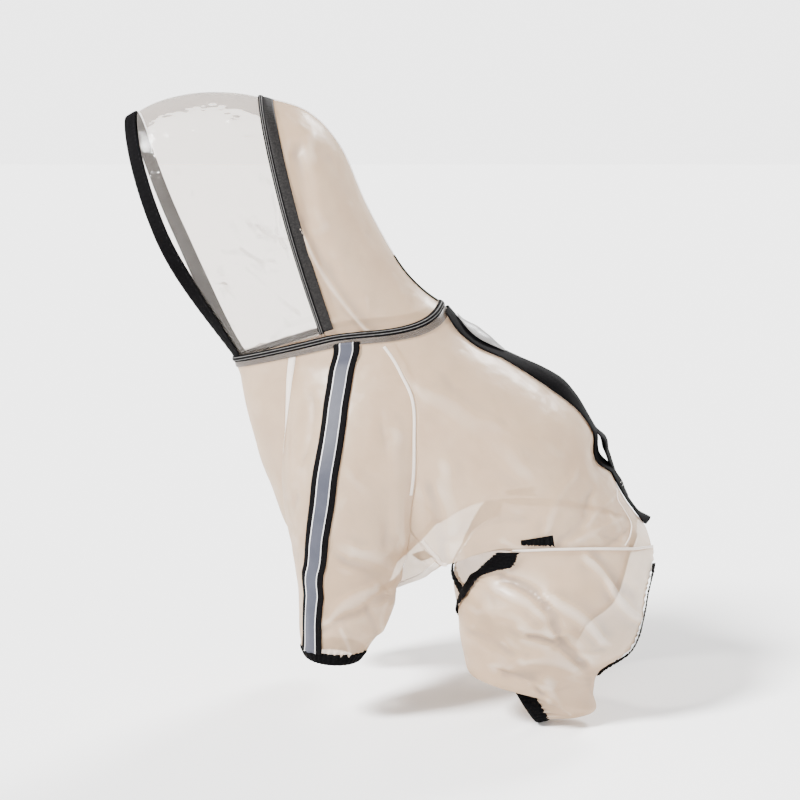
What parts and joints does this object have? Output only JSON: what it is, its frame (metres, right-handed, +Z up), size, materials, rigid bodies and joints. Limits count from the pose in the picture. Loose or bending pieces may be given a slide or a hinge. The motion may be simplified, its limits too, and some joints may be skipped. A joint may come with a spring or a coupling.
{
  "type": "hooded dog raincoat",
  "caption": "Translucent hooded raincoat for a small dog, worn shape, with a clear visor, front sleeves, rear legs, gathered cuffs and reflective sleeve stripes.",
  "frame": {"origin": "on the spine line at the withers, where the coat lies on the dog's back", "axes": "+X from the hood's face opening to the tail, +Z up, -Y the coat's left side"},
  "size_m": [0.4316, 0.2296, 0.5029],
  "materials": {
    "film": "milky translucent film, faint sheen",
    "clear_film": "clear glossy film",
    "seam_film": "doubled film over dark tape, translucent",
    "black_fabric": "woven tape and elastic, matte",
    "reflective": "grey retroreflective tape, satin"
  },
  "bodies": {
    "root": {"side_panel_left": "film", "side_panel_right": "film", "chest_panel": "film", "belly_band": "film", "sleeve_left": "film", "sleeve_right": "film", "sleeve_cuff_left": "black_fabric", "sleeve_cuff_right": "black_fabric", "sleeve_stripe_left": "black_fabric", "sleeve_stripe_right": "black_fabric", "reflector_left": "reflective", "reflector_right": "reflective", "rear_leg_left": "film", "rear_leg_right": "film", "leg_cuff_left": "black_fabric", "leg_cuff_right": "black_fabric", "leg_elastic_left": "black_fabric", "leg_elastic_right": "black_fabric", "hood_back_left": "film", "hood_back_right": "film", "visor": "clear_film", "face_binding": "black_fabric", "visor_seam_tape": "black_fabric", "visor_seam_allowance": "seam_film", "neck_tape": "black_fabric", "neck_allowance": "seam_film", "back_strip": "black_fabric", "leash_flap": "film", "hood_middle_tape": "black_fabric", "label": "black_fabric"}
  },
  "joints": []
}
